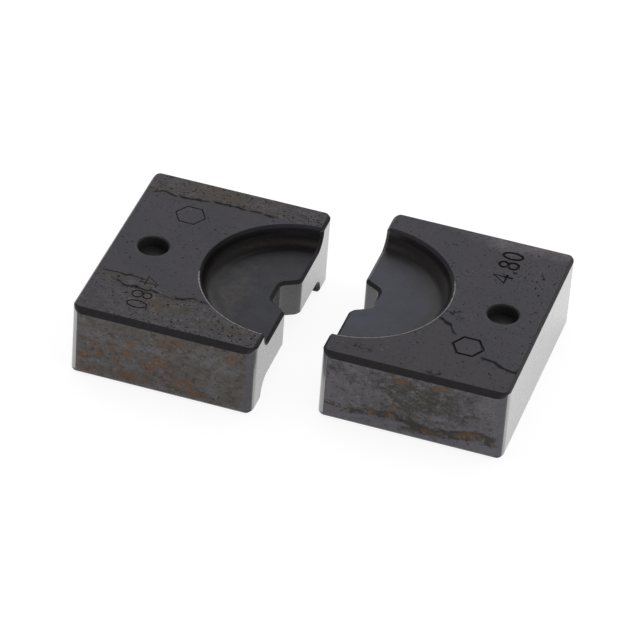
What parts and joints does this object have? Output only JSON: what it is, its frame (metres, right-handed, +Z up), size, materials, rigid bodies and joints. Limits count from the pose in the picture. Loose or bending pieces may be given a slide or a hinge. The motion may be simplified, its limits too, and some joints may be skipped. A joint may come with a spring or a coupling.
{
  "type": "crimping die",
  "caption": "Two-part hexagon crimping die: recessed steel blocks whose facing notches close into a flat hexagon around a cable lug.",
  "frame": {"origin": "on the bench under the pair, midway between the two halves; each half is the other turned by 180 degrees about +Z through it", "axes": "+X across the gap, from the fixed half to the moving half and square to both mating faces; +Z up, along the crimped barrel"},
  "size_m": [0.0414, 0.0266, 0.0076],
  "materials": {
    "blackened_tool_steel": "black oxide, satin"
  },
  "bodies": {
    "fixed_half": {"fixed_die_half": "blackened_tool_steel"},
    "moving_half": {"moving_die_half": "blackened_tool_steel"}
  },
  "joints": [
    {"name": "die_closing", "type": "slide", "parent": "fixed_half", "child": "moving_half", "axis": [-0.9042, -0.427, 0], "range_m": [-0.0072, 0.00597]}
  ]
}
